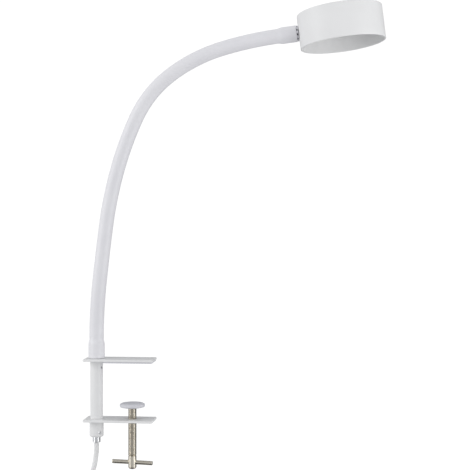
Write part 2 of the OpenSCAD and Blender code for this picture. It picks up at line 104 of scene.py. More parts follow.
# Arm: seven curved sections with a hinge between each two, and a straight length at each end
END_L = 28
SECTION_L = 80.75
TURNS = (6, 1.5, 8, 9.5, 29, 20, 9)
ARM_L = 2 * END_L + SECTION_L * len(TURNS)
ARM_FOOT = (POST_X, UPPER_Z[1])
ARM_BODIES = ["arm_base", "arm_2", "arm_3", "arm_4", "arm_5", "arm_6", "head"]
SLEEVE_R = 10.2
BULGE_R = 11.6
BULGE_L = 20
SLEEVE_BORE_R = 6.8
FITTING_BORE_R = 9.1
FITTING_L = 20.3
FOOT_GAP = 0.2
CORE_R = 6.5
CORE_BORE_R = 4
CORE_INSET = 5.4
LEAD_R = 3.25

# Head: lengths along the drum's own axis, from its middle
DRUM_R = 60
DRUM_HALF = 24
DRUM_WALL = 1.8
WALL_GAP = 1.6
HEAD_GAP = 1
TOP_WALL = 2
NUT_X = -57.5
BAFFLE_Z = (9, 10.5)
SPACER_R = 50
SWITCH_R = 8
ROCKER_Z = 22
ROCKER_REST = math.radians(-10)

# Cord: the free stretch and the tail by the same points as the CAD, and the coil between them
CORD_D = 0.007
CORD_ROUTE = [
    (-52, 0, -110), (-52, 0, -118), (-52, 0, -127), (-53, 0, -135), (-54, -1, -144), (-56, -3, -153),
    (-59, -6, -163), (-63, -10, -173), (-68, -13, -183), (-74, -15, -193), (-80, -15, -203),
    (-86, -13, -214)]
TAIL_ROUTE = [(-105, 7, -246), (-107, 3, -257), (-108, 0, -268)]
COIL_CENTRE = (-60, -235)
COIL_LAYERS = (30.5, 37.5, 44.5)
COIL_HALF = 8.1
COIL_START = 170
LAYER_ANGLE = 810
STEP_ANGLE = 50


# ---- camera and stage ----

def make_camera():
    """A long lens at the height of the arm's middle, looking level and a little from the head's side."""
    turn = math.radians(5.5)
    distance = 1.45
    aim = Vector((0.1473, 0, 0.1815))
    data = bpy.data.cameras.new("camera")
    data.sensor_width = 36
    data.lens = 78.5
    cam = bpy.data.objects.new("camera", data)
    cam.location = aim + distance * Vector((math.sin(turn), -math.cos(turn), 0))
    cam.rotation_euler = (math.pi / 2, 0, turn)
    bpy.context.scene.collection.objects.link(cam)
    bpy.context.scene.camera = cam


make_camera()


# ---- outlines and meshes ----

def rounded(points, closed=False, steps=5):
    """The outline through points, each (x, y) or (x, y, radius), with its corners turned into arcs."""
    out = []
    n = len(points)
    for i, p in enumerate(points):
        r = p[2] if len(p) > 2 else 0
        if r == 0 or (not closed and i in (0, n - 1)):
            out.append((p[0], p[1]))
            continue
        here = Vector(p[:2])
        back = Vector(points[i - 1][:2]) - here
        ahead = Vector(points[(i + 1) % n][:2]) - here
        half = back.angle(ahead) / 2
        reach = min(r / math.tan(half), 0.49 * back.length, 0.49 * ahead.length)
        r = reach * math.tan(half)
        centre = here + (back.normalized() + ahead.normalized()).normalized() * (r / math.sin(half))
        start = here + back.normalized() * reach - centre
        end = here + ahead.normalized() * reach - centre
        sweep = start.angle_signed(end)
        for k in range(steps + 1):
            v = start.copy()
            v.rotate(Matrix.Rotation(-sweep * k / steps, 2))
            out.append(tuple(centre + v))
    return out


def piece(name, mesh_data, place=None, smooth=True):
    """A new object from (vertices, faces) in millimetres, put in place by a matrix in metres."""
    verts, faces = mesh_data
    mesh = bpy.data.meshes.new(name)
    mesh.from_pydata([Vector(v) * MM for v in verts], [], faces)
    bm = bmesh.new()
    bm.from_mesh(mesh)
    bmesh.ops.remove_doubles(bm, verts=bm.verts, dist=1e-7)
    bmesh.ops.dissolve_degenerate(bm, edges=bm.edges, dist=1e-7)
    bmesh.ops.recalc_face_normals(bm, faces=bm.faces)
    bm.to_mesh(mesh)
    bm.free()
    if place is not None:
        mesh.transform(place)
    obj = bpy.data.objects.new(name, mesh)
    bpy.context.scene.collection.objects.link(obj)
    if smooth:
        shade(obj)
    return obj


def shade(obj):
    for polygon in obj.data.polygons:
        polygon.use_smooth = True
    obj.data.set_sharp_from_angle(angle=SMOOTH_ANGLE)


def lathe(profile, segments=64, closed=False):
    """Turns a profile of (radius, height) about Z. A closed profile makes a ring."""
    verts, faces, rows = [], [], []
    for r, z in profile:
        if r < 1e-6:
            rows.append([len(verts)])
            verts.append((0, 0, z))
            continue
        rows.append(list(range(len(verts), len(verts) + segments)))
        verts += [
            (r * math.cos(2 * math.pi * k / segments), r * math.sin(2 * math.pi * k / segments), z)
            for k in range(segments)]
    pairs = list(zip(rows, rows[1:]))
    if closed:
        pairs.append((rows[-1], rows[0]))
    for a, b in pairs:
        for k in range(segments):
            j = (k + 1) % segments
            if len(a) == 1 and len(b) == 1:
                continue
            if len(a) == 1:
                faces.append((a[0], b[k], b[j]))
            elif len(b) == 1:
                faces.append((a[k], b[0], a[j]))
            else:
                faces.append((a[k], b[k], b[j], a[j]))
    return verts, faces


def prism(outline, z0, z1):
    """A closed outline of (x, y), drawn from z0 to z1."""
    n = len(outline)
    verts = [(x, y, z) for z in (z0, z1) for x, y in outline]
    faces = [(i, (i + 1) % n, n + (i + 1) % n, n + i) for i in range(n)]
    faces += [tuple(range(n))[::-1], tuple(range(n, 2 * n))]
    return verts, faces


def block(x0, x1, y0, y1, z0, z1):
    return prism([(x0, y0), (x1, y0), (x1, y1), (x0, y1)], z0, z1)


def hexagon(r):
    return [(r * math.cos(math.pi * k / 3), r * math.sin(math.pi * k / 3)) for k in range(6)]


def rings_to_mesh(rings, ends="flat"):
    """Joins rings of the same number of points.

    ends is flat, which closes both ends, or loop, which joins the last ring to the first.
    """
    n = len(rings[0])
    verts = [v for ring in rings for v in ring]
    faces = []
    count = len(rings) if ends == "loop" else len(rings) - 1
    for i in range(count):
        a, b = i * n, (i + 1) % len(rings) * n
        faces += [(a + k, b + k, b + (k + 1) % n, a + (k + 1) % n) for k in range(n)]
    if ends == "flat":
        faces += [tuple(range(n))[::-1], tuple(range(len(verts) - n, len(verts)))]
    return verts, faces


def joined(*meshes):
    """One mesh from several (vertices, faces)."""
    verts, faces = [], []
    for v, f in meshes:
        faces += [tuple(i + len(verts) for i in face) for face in f]
        verts += list(v)
    return verts, faces


def moved(mesh_data, matrix):
    verts, faces = mesh_data
    return [tuple(matrix @ Vector(v)) for v in verts], faces


def apply_modifiers(obj):
    """Keeps what the modifiers make as the object's own mesh."""
    bpy.context.view_layer.update()
    evaluated = obj.evaluated_get(bpy.context.evaluated_depsgraph_get())
    mesh = bpy.data.meshes.new_from_object(evaluated)
    obj.modifiers.clear()
    obj.data = mesh


def cut(obj, *tools):
    """Takes closed meshes in millimetres away from obj."""
    for tool in tools:
        cutter = piece("cutter", tool, smooth=False)
        modifier = obj.modifiers.new("cut", "BOOLEAN")
        modifier.operation = "DIFFERENCE"
        modifier.solver = "EXACT"
        modifier.object = cutter
        apply_modifiers(obj)
        bpy.data.objects.remove(cutter)


def soften(obj, width, segments=3, angle=40):
    """Rounds the edges that turn by more than angle."""
    modifier = obj.modifiers.new("soften", "BEVEL")
    modifier.width = width * MM
    modifier.segments = segments
    modifier.limit_method = "ANGLE"
    modifier.angle_limit = math.radians(angle)
    modifier.harden_normals = False
    apply_modifiers(obj)
    shade(obj)


def place_at(x, y, z):
    return Matrix.Translation(Vector((x, y, z)))


def facing(angle):
    """Turns +Z to point outwards, at an angle in degrees from the front (-Y) towards +X."""
    return Matrix.Rotation(math.radians(angle), 4, "Z") @ Matrix.Rotation(math.pi / 2, 4, "X")


# ---- materials ----

def new_material(name):
    material = bpy.data.materials.new(name)
    material.use_nodes = True
    nodes, links = material.node_tree.nodes, material.node_tree.links
    return material, nodes, links, nodes["Principled BSDF"]


def noise(nodes, links, coords, grain, detail=3, stretch=None):
    """Noise whose features are about grain millimetres across, longer along an axis if it is stretched."""
    texture = nodes.new("ShaderNodeTexNoise")
    texture.inputs["Scale"].default_value = 1 / (grain * MM)
    texture.inputs["Detail"].default_value = detail
    source = coords
    if stretch:
        mapping = nodes.new("ShaderNodeMapping")
        mapping.inputs["Scale"].default_value = stretch
        links.new(coords, mapping.inputs["Vector"])
        source = mapping.outputs["Vector"]
    links.new(source, texture.inputs["Vector"])
    return texture.outputs["Fac"]


def ranged(nodes, links, value, low, high, start=0.35, end=0.65):
    """Stretches the middle of a noise over low to high."""
    node = nodes.new("ShaderNodeMapRange")
    node.inputs["From Min"].default_value = start
    node.inputs["From Max"].default_value = end
    node.inputs["To Min"].default_value = low
    node.inputs["To Max"].default_value = high
    links.new(value, node.inputs["Value"])
    return node.outputs["Result"]


def bump(nodes, links, height, depth, after=None):
    """A bump of depth millimetres, laid over an earlier one."""
    node = nodes.new("ShaderNodeBump")
    node.inputs["Strength"].default_value = 1
    node.inputs["Distance"].default_value = depth * MM
    links.new(height, node.inputs["Height"])
    if after is not None:
        links.new(after, node.inputs["Normal"])
    return node.outputs["Normal"]


def tinted(nodes, links, factor, first, second):
    node = nodes.new("ShaderNodeMix")
    node.data_type = "RGBA"
    node.inputs["A"].default_value = (*first, 1)
    node.inputs["B"].default_value = (*second, 1)
    links.new(factor, node.inputs["Factor"])
    return node.outputs["Result"]


def surface(name, colour, other, rough, grains, mottle=40, metal=0, stretch=None, edge=None, **sockets):
    """A procedural finish.

    colour and other are mixed in patches about mottle millimetres across. rough is the roughness's range.
    grains is a list of (size, depth) bumps in millimetres. edge is the colour laid on convex edges: rubbed
    wear on the black oxide, a painted highlight on the white coat and the nickel.
    """
    material, nodes, links, shader = new_material(name)
    coords = nodes.new("ShaderNodeTexCoord").outputs["Object"]
    patches = ranged(nodes, links, noise(nodes, links, coords, mottle, 4), 0, 1)
    base = tinted(nodes, links, patches, colour, other)
    # Convex edges found by Pointiness are made lighter: rubbed wear on the black oxide, a painted highlight
    # on the white coat and the nickel.
    if edge is not None:
        pointed = nodes.new("ShaderNodeNewGeometry").outputs["Pointiness"]
        edge_wear_and_highlight = ranged(nodes, links, pointed, 0, 0.5, 0.54, 0.62)
        node = nodes.new("ShaderNodeMix")
        node.data_type = "RGBA"
        node.inputs["B"].default_value = (*edge, 1)
        links.new(edge_wear_and_highlight, node.inputs["Factor"])
        links.new(base, node.inputs["A"])
        base = node.outputs["Result"]
    links.new(base, shader.inputs["Base Color"])
    spots = noise(nodes, links, coords, mottle / 9, 5, stretch)
    links.new(ranged(nodes, links, spots, *rough), shader.inputs["Roughness"])
    normal = None
    for size, depth in grains:
        normal = bump(nodes, links, noise(nodes, links, coords, size, 3, stretch), depth, normal)
    if normal is not None:
        links.new(normal, shader.inputs["Normal"])
    shader.inputs["Metallic"].default_value = metal
    for socket, value in sockets.items():
        shader.inputs[socket.replace("_", " ")].default_value = value
    return material


MATERIALS = {
    # White coat: its lighter edge colour is a painted highlight on convex edges.
    "white_metal": surface(
        "white_powder_coat", (0.81, 0.81, 0.81), (0.79, 0.79, 0.79), (0.40, 0.50),
        [(0.9, 0.012), (0.25, 0.003)], edge=(0.86, 0.86, 0.86), Specular_IOR_Level=0.45),
    "white_plastic": surface(
        "white_moulding", (0.66, 0.66, 0.70), (0.63, 0.63, 0.67), (0.42, 0.55), [(0.35, 0.008)],
        Subsurface_Weight=0.05, Subsurface_Radius=(0.002, 0.002, 0.002)),
    "sleeve": surface(
        "soft_pvc_sleeve", (0.79, 0.785, 0.81), (0.76, 0.755, 0.785), (0.38, 0.50),
        [(2.5, 0.02), (0.3, 0.004)], mottle=55, Subsurface_Weight=0.06,
        Subsurface_Radius=(0.002, 0.002, 0.002)),
    # Nickel: its lighter edge colour is a painted highlight on convex edges.
    "nickel": surface(
        "nickel_plate", (0.66, 0.62, 0.54), (0.60, 0.555, 0.47), (0.13, 0.24), [(0.5, 0.004)],
        mottle=12, metal=1, edge=(0.75, 0.71, 0.64)),
    "zinc": surface(
        "zinc_plate", (0.86, 0.87, 0.88), (0.79, 0.80, 0.82), (0.20, 0.34), [(0.6, 0.004)],
        mottle=6, metal=1),
    # Black oxide: the lighter edge colour is rubbed wear. Where the ferrule's boss shows through the notched
    # ring's gaps, this dark colour is painted shade for those gaps.
    "dark_steel": surface(
        "black_oxide_and_gap_shade", (0.035, 0.035, 0.037), (0.06, 0.058, 0.055), (0.3, 0.5), [(0.3, 0.008)],
        mottle=4, metal=1, edge=(0.2, 0.2, 0.2)),
    "cable": surface(
        "white_cable_pvc", (0.79, 0.79, 0.79), (0.76, 0.76, 0.755), (0.40, 0.52),
        [(1.4, 0.015), (0.25, 0.004)], mottle=30, Subsurface_Weight=0.05,
        Subsurface_Radius=(0.002, 0.002, 0.002)),
    "alu": surface(
        "rolled_aluminium", (0.72, 0.73, 0.74), (0.64, 0.65, 0.66), (0.25, 0.4), [(0.4, 0.006)],
        mottle=15, metal=1, stretch=(0.08, 1, 1)),
    "board": surface(
        "white_solder_mask", (0.80, 0.81, 0.79), (0.76, 0.77, 0.75), (0.28, 0.38), [(0.5, 0.006)], mottle=6),
    "led": surface(
        "yellow_phosphor", (0.80, 0.62, 0.12), (0.74, 0.55, 0.08), (0.25, 0.35), [(0.3, 0.005)], mottle=2),
    "opal": surface(
        "opal_acrylic", (0.83, 0.83, 0.82), (0.80, 0.80, 0.79), (0.42, 0.52), [(0.2, 0.006)], mottle=20,
        Transmission_Weight=0.35, Subsurface_Weight=0.3, Subsurface_Radius=(0.004, 0.004, 0.004)),
    "wire": surface(
        "wire_insulation", (0.10, 0.19, 0.50), (0.08, 0.15, 0.42), (0.35, 0.5), [(0.4, 0.01)], mottle=10),
    "black_plastic": surface(
        "black_moulding", (0.018, 0.018, 0.02), (0.028, 0.028, 0.03), (0.25, 0.4), [(0.3, 0.01)], mottle=6),
    "rocker": surface(
        "rocker_plastic", (0.74, 0.74, 0.73), (0.70, 0.70, 0.69), (0.22, 0.34), [(0.3, 0.005)], mottle=8),
}


def dress(obj, slot, body, *stands_for):
    """Gives a new piece the material of its slot, puts it on its body when one is given and hides the CAD
    nodes it stands for.
    """
    obj.data.materials.clear()
    obj.data.materials.append(MATERIALS[slot])
    if body:
        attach(obj, body)
    if stands_for:
        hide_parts(*stands_for)
    return obj


# ---- the cord ----

def smooth_route(points, step=2.5):
    """Points about step millimetres apart on the smooth curve through points."""
    out = []
    n = len(points)
    for i in range(n - 1):
        p0, p1, p2, p3 = (Vector(points[min(max(k, 0), n - 1)]) for k in (i - 1, i, i + 1, i + 2))
        pieces = max(1, round((p2 - p1).length / step))
        for k in range(pieces):
            t = k / pieces
            out.append(0.5 * (
                2 * p1 + (p2 - p0) * t + (2 * p0 - 5 * p1 + 4 * p2 - p3) * t ** 2
                + (3 * p1 - p0 - 3 * p2 + p3) * t ** 3))
    out.append(Vector(points[-1]))
    return out


def coil_points(step=6):
    """The coil's three layers of turns, each wound back across the one inside it. step is in degrees."""
    def at(angle, radius, y):
        a = math.radians(angle)
        return (COIL_CENTRE[0] + radius * math.cos(a), y, COIL_CENTRE[1] + radius * math.sin(a))

    out = []
    angle, side = COIL_START, -1
    for layer, radius in enumerate(COIL_LAYERS):
        for k in range(round(LAYER_ANGLE / step)):
            share = k * step / LAYER_ANGLE
            out.append(at(angle + k * step, radius, side * COIL_HALF * (1 - 2 * share)))
        angle += LAYER_ANGLE
        side = -side
        if layer == len(COIL_LAYERS) - 1:
            out.append(at(angle, radius, side * COIL_HALF))
            break
        rise = COIL_LAYERS[layer + 1] - radius
        for k in range(round(STEP_ANGLE / 10)):
            share = k * 10 / STEP_ANGLE
            out.append(at(angle + k * 10, radius + rise * (3 - 2 * share) * share ** 2, side * COIL_HALF))
        angle += STEP_ANGLE
    return out


def swept(points, radius, sides=16):
    """A round tube along points by parallel transport."""
    rings = []
    up = None
    for i, p in enumerate(points):
        d = (points[min(i + 1, len(points) - 1)] - points[max(i - 1, 0)]).normalized()
        up = d.orthogonal() if up is None else up - d * up.dot(d)
        up.normalize()
        side = d.cross(up)
        rings.append([
            p + radius * (math.cos(2 * math.pi * k / sides) * up + math.sin(2 * math.pi * k / sides) * side)
            for k in range(sides)])
    return rings_to_mesh(rings)


def make_cord():
    route = smooth_route(CORD_ROUTE + coil_points() + TAIL_ROUTE)
    cord = piece("cord_run", swept(route, CORD_D / MM / 2))
    dress(cord, "cable", "clamp", "mains_cord", "cord_coil", "cord_tail")
    return cord, [p * MM for p in route]


def make_ties():
    """Two straps round the coil's bundle."""
    half_t, half_w, corner, thick, width = 10.9, 11.9, 4, 1.1, 9

    def loop(grow):
        a, b, r = half_t + grow, half_w + grow, corner + grow
        return rounded([(-a, -b, r), (a, -b, r), (a, b, r), (-a, b, r)], closed=True)

    rings = [
        [(x, y, z) for x, y in loop(grow)]
        for grow, z in ((0, -width / 2), (thick, -width / 2), (thick, width / 2), (0, width / 2))]
    strap = rings_to_mesh(rings, "loop")
    tail = block(-0.5, 0.5, -7, 7, -width / 2 + 0.3, width / 2 - 0.3)
    tail = moved(tail, place_at(half_t + thick + 0.5, 0, 0))
    both = []
    for angle in (60, 240):
        turn = Matrix.Rotation(-math.radians(angle), 4, "Y")
        centre = place_at(COIL_CENTRE[0], 0, COIL_CENTRE[1])
        for part in (strap, tail):
            both.append(moved(part, centre @ turn @ place_at(COIL_LAYERS[1], 0, 0)))
    ties = piece("coil_straps", joined(*both))
    soften(ties, 0.25, 2)
    return dress(ties, "white_plastic", "clamp", "coil_ties")


def make_plug():
    """Moulded two-pin plug with earth contacts in its sides, pins down."""
    place = place_at(TAIL_ROUTE[-1][0], 0, 0)
    top, shoulder, face = TAIL_ROUTE[-1][2], -300, -336
    pin_spots = [place @ place_at(x, 0, 0) for x in (-9.5, 9.5)]
    pin_root = face + 7.7
    profile = [(3.5, top - 0.2), (4.5, top, 0.3), (4.8, top - 2, 0.2)]
    for k in range(6):
        z = top - 3 - 4.2 * k
        r = 4.9 + 0.35 * k
        profile += [(r, z, 0.3), (r, z - 2.4, 0.3), (r - 0.9, z - 2.5, 0.2), (r - 0.9, z - 4.1, 0.2)]
    profile += [
        (8, shoulder + 2, 1.5), (13, shoulder - 4, 4), (16.4, shoulder - 11, 5), (18.5, shoulder - 15, 1.5),
        (18.5, face, 0.8), (0, face)]
    body = piece("plug_moulding", moved(lathe(rounded([(0, top - 0.2)] + profile), 72), place), None)
    slots = [moved(block(-2.7, 2.7, y - 1.7, y + 1.7, face - 1, face + 16), place) for y in (-18.5, 18.5)]
    hole = lathe([(0, face - 1), (2.45, face - 1), (2.45, pin_root + 0.1), (0, pin_root + 0.1)], 32)
    holes = [moved(hole, spot) for spot in pin_spots]
    groove = block(-19, 19, -0.5, 0.5, face + 13, face + 20)
    grooves = [moved(groove, place @ place_at(0, y, 0)) for y in (-17.9, 17.9)]
    cut(body, *slots, *holes, *grooves)
    shade(body)
    dress(body, "cable", "clamp", "plug_body")
    pin = lathe(rounded([(0, face - 19), (2.4, face - 19, 1.6), (2.4, pin_root), (0, pin_root)]), 32)
    pins = piece("plug_contacts", joined(*[moved(pin, spot) for spot in pin_spots]))
    dress(pins, "nickel", "clamp", "plug_pins")
    strip = block(-2.4, 2.4, -0.45, 0.45, face + 0.1, face + 15.7)
    both = [moved(strip, place @ place_at(0, y, 0)) for y in (-17.45, 17.45)]
    strips = piece("plug_earth_clips", joined(*both))
    soften(strips, 0.2, 2)
    dress(strips, "nickel", "clamp", "plug_earth")
    return [body, pins, strips]


cord, cord_path = make_cord()
cord_pieces = [make_ties(), *make_plug()]


# ---- the arm ----

def arm_at(s):
    """Point and heading (radians from vertical) of the arm's centre line at s millimetres from its foot."""
    x, z = ARM_FOOT
    lengths = [(END_L, 0)] + [(SECTION_L, math.radians(t)) for t in TURNS] + [(END_L + 1, 0)]
    heading = 0
    for length, turn in lengths:
        part = min(s, length)
        if turn:
            r = length / turn
            after = heading + part / r
            x += r * (math.cos(heading) - math.cos(after))
            z += r * (math.sin(after) - math.sin(heading))
            heading = after
        else:
            x += part * math.sin(heading)
            z += part * math.cos(heading)
        s -= part
        if s <= 0:
            break
    return Vector((x, 0, z)), heading


def arm_ring(s, r, sides):
    p, heading = arm_at(s)
    across, side = Vector((math.cos(heading), 0, -math.sin(heading))), Vector((0, 1, 0))
    return [
        p + r * (math.cos(2 * math.pi * k / sides) * across + math.sin(2 * math.pi * k / sides) * side)
        for k in range(sides)]


def arm_ranges():
    """For each hinge: the stretch of arm its piece covers, the stretch it bends over, and the two bodies."""
    def middle(i):
        return END_L + SECTION_L * (i - 0.5)

    count = len(TURNS) - 1
    for i in range(1, count + 1):
        start = 0 if i == 1 else middle(i)
        end = ARM_L if i == count else middle(i + 1)
        yield i, start, end, middle(i), middle(i + 1), ARM_BODIES[i - 1], ARM_BODIES[i]


def stations(start, end, step, fine=()):
    """Places along the arm, evenly between start and end, with the fine ones added."""
    count = max(1, round((end - start) / step))
    places = {round(start + (end - start) * k / count, 4) for k in range(count + 1)}
    return sorted(places | {f for f in fine if start < f < end})


def nodes_of(kind, i):
    """The CAD nodes that hinge i's piece stands for: one section's, or two at the last hinge."""
    sections = [i, i + 1] if i == len(TURNS) - 1 else [i]
    return [f"{kind}_{k}" for k in sections]


def bend_piece(obj, start, end):
    arm_at(start)[0] * MM
    arm_at(end)[0] * MM
    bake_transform(obj)


def sleeve_radius(s):
    """The sleeve swells over the fitting at each end, and its two rims are rounded."""
    from_end = min(s - FOOT_GAP, ARM_L - HEAD_GAP - s)
    flare = min(max((from_end - BULGE_L) / (END_L - BULGE_L), 0), 1)
    r = SLEEVE_R + (BULGE_R - SLEEVE_R) * (1 + math.cos(math.pi * flare)) / 2
    rim = 0.9
    if from_end < rim:
        r -= rim - math.sqrt(max(rim ** 2 - (rim - from_end) ** 2, 0))
    return r


def bore_radius(s):
    from_end = min(s, ARM_L - s)
    share = min(max((from_end - FITTING_L) / 0.5, 0), 1)
    return FITTING_BORE_R + (SLEEVE_BORE_R - FITTING_BORE_R) * share


def make_sleeves():
    rim = [0.05, 0.15, 0.3, 0.5, 0.7, 0.9]
    fine = [FITTING_L, FITTING_L + 0.5, 22, 23, 24, 25, 26, 27, 28, 29]
    fine += [FOOT_GAP + r for r in rim] + [ARM_L - HEAD_GAP - r for r in rim] + [ARM_L - f for f in fine]
    for i, start, end, a, b, *bodies in arm_ranges():
        first, last = max(start, FOOT_GAP), min(end, ARM_L - HEAD_GAP)
        places = stations(first, last, 2.6, fine)
        rings = [arm_ring(s, sleeve_radius(s), 56) for s in places]
        rings += [arm_ring(s, bore_radius(s), 56) for s in reversed(places)]
        sleeve = piece(f"arm_sleeve_{i}", rings_to_mesh(rings, "loop"))
        dress(sleeve, "sleeve", None, *nodes_of("sleeve", i))
        bend_piece(sleeve, a, b)


def make_cores():
    """The steel gooseneck: wound strip, so its outside is a row of small ridges."""
    pitch, ridge = 3.2, 0.4
    for i, start, end, a, b, *bodies in arm_ranges():
        first, last = max(start, CORE_INSET), min(end, ARM_L - CORE_INSET)
        rings = []
        for s in stations(first, last, pitch / 4):
            dip = ridge * (1 + math.cos(2 * math.pi * (s - first) / pitch)) / 2
            rings.append(arm_ring(s, CORE_R - dip, 24))
        rings += [arm_ring(s, CORE_BORE_R, 24) for s in reversed(stations(first, last, 4))]
        core = piece(f"gooseneck_{i}", rings_to_mesh(rings, "loop"))
        dress(core, "zinc", None, *nodes_of("core", i))
        bend_piece(core, a, b)


def make_leads():
    """The lead inside the gooseneck, from the swivel to the nipple's inner end."""
    for i, start, end, a, b, *bodies in arm_ranges():
        places = stations(start, end, 4)
        if i == 1:
            places = [-40, -30, -20, -10] + places
        if i == len(TURNS) - 1:
            places += [ARM_L + 4, ARM_L + 12.6]
        rings = []
        for s in places:
            if s < 0:
                rings.append([v + Vector((0, 0, s)) for v in arm_ring(0, LEAD_R, 16)])
            elif s > ARM_L:
                heading = arm_at(ARM_L)[1]
                along = Vector((math.sin(heading), 0, math.cos(heading)))
                rings.append([v + (s - ARM_L) * along for v in arm_ring(ARM_L, LEAD_R, 16)])
            else:
                rings.append(arm_ring(s, LEAD_R, 16))
        lead = piece(f"inner_lead_{i}", rings_to_mesh(rings))
        dress(lead, "cable", None, *nodes_of("lead", i))
        bend_piece(lead, a, b)


make_sleeves()
make_cores()
make_leads()


# ---- the clamp ----

def make_plate(name, x0, x1, width, z0, z1, corner, slot, body, node, holes=(), edge=0.5):
    half = width / 2
    outline = rounded(
        [(x0, -half, corner), (x1, -half, corner), (x1, half, corner), (x0, half, corner)], closed=True)
    plate = piece(name, prism(outline, z0, z1), smooth=False)
    for x, r in holes:
        tool = lathe([(0, z0 - 1), (r, z0 - 1), (r, z1 + 1), (0, z1 + 1)], 64)
        cut(plate, moved(tool, place_at(x, 0, 0)))
    soften(plate, edge)
    return dress(plate, slot, body, node)


def make_grub_screw(name, spec, node):
    """Hexagon-socket grub screw, a little below the surface it is screwed into."""
    r, out = spec["r"], spec["axis_r"] - 0.7
    stem = piece(name, lathe(rounded([(0, out - 4.5), (r - 0.6, out - 4.5, 0.2), (r - 0.05, out - 3.8, 0.1),
                                      (r - 0.05, out - 0.4, 0.1), (r - 0.45, out, 0.1), (0, out)]), 32))
    cut(stem, prism(hexagon(0.62 * r), out - 2, out + 1))
    stem.data.transform(place_at(POST_X * MM, 0, spec["z"] * MM) @ facing(spec["angle"]))
    shade(stem)
    return dress(stem, "zinc", "clamp", node)


def side_hole(spec, depth):
    """The hole a grub screw sits in, as a closed mesh in millimetres, with a small countersink."""
    r, out = spec["r"] + 0.1, spec["axis_r"]
    tool = lathe([(0, out - depth), (r, out - depth), (r, out - 0.5), (r + 0.35, out - 0.05),
                  (r + 1.2, out + 1.5), (0, out + 1.5)], 32)
    return moved(tool, place_at(POST_X, 0, spec["z"]) @ facing(spec["angle"]))


def make_clamp():
    make_plate(
        "top_plate", *JAW_X, JAW_W, *UPPER_Z, 2.5, "white_metal", "clamp", "upper_jaw",
        [(POST_X, POST_R)])
    make_plate(
        "bottom_plate", *JAW_X, JAW_W, *LOWER_Z, 2.5, "white_metal", "clamp", "lower_jaw",
        [(POST_X, POST_R), (0, SCREW_HOLE_R)])
    liner = make_plate(
        "grip_liner", *LINER_X, JAW_W - 2, 0, 2, 2, "white_plastic", "clamp", "jaw_liner", edge=0.3)
    grooves = [block(x - 0.5, x + 0.5, -30, 30, -1, 0.4) for x in range(-36, 30, 4)]
    cut(liner, *grooves)
    shade(liner)

    top, bottom = POST_Z[1], POST_Z[0]
    tube = piece("post_tube", moved(lathe(rounded(
        [(POST_BORE_R, bottom, 0.3), (POST_R, bottom, 0.3), (POST_R, top, 0.4), (POST_BORE_R, top, 0.4)],
        closed=True), 96, closed=True), place_at(POST_X, 0, 0)))
    cut(tube, side_hole(LOCK_SCREW, 3))
    shade(tube)
    dress(tube, "white_metal", "clamp", "post")

    low, high = COLLAR_Z
    collar = piece("bottom_collar", moved(lathe(rounded(
        [(5.6, low, 0.3), (COLLAR_R - 1.6, low, 0.4), (COLLAR_R, low + 1.6, 0.6), (COLLAR_R, high - 0.1, 0.4),
         (POST_R, high - 0.1), (POST_R, high - 6), (5.6, high - 6)], closed=True), 96, closed=True),
        place_at(POST_X, 0, 0)))
    cut(collar, side_hole(COLLAR_SCREW, 4.5))
    shade(collar)
    dress(collar, "white_metal", "clamp", "end_collar")

    make_grub_screw("arm_grub_screw", LOCK_SCREW, "arm_lock_screw")
    make_grub_screw("collar_grub_screw", COLLAR_SCREW, "collar_screw")

    low, high = RELIEF_Z
    relief = piece("lead_gland", moved(lathe(rounded(
        [(3.55, low + 5), (4.6, low + 5, 0.3), (4.7, low, 0.2), (5.6, low, 0.3), (5.6, high, 0.5),
         (3.55, high)],
        closed=True), 64, closed=True), place_at(POST_X, 0, 0)))
    dress(relief, "zinc", "clamp", "strain_relief")


make_clamp()


# ---- the clamping screw ----

def thread(r, pitch, z0, z1, columns=48):
    """A threaded rod's wall: rows of points that climb with the thread and fade to the core at both ends."""
    depth = 0.6 * pitch
    root = r - depth
    wave = [0, 0.5, 1, 1, 1, 1, 1, 1, 1, 0.5]
    per_turn = len(wave)
    rows = []
    count = round((z1 - z0) / pitch) + 1
    for turn in range(-1, count):
        for k in range(per_turn):
            row = []
            for c in range(columns):
                z = z0 + (turn + k / per_turn + c / columns) * pitch
                z = min(max(z, z0), z1)
                end = min(z - z0, z1 - z)
                reach = root + depth * wave[k] * min(end / (1.1 * pitch), 1)
                angle = 2 * math.pi * c / columns
                row.append((reach * math.cos(angle), reach * math.sin(angle), z))
            rows.append(row)
    verts = [v for row in rows for v in row]
    faces = []
    for i in range(len(rows) - 1):
        for c in range(columns):
            a, b = i * columns, (i + 1) * columns
            if c < columns - 1:
                faces.append((a + c, a + c + 1, b + c + 1, b + c))
            elif i + per_turn + 1 < len(rows):
                lift = per_turn * columns
                faces.append((a + c, a + lift, b + lift, b + c))
    return verts, faces, root


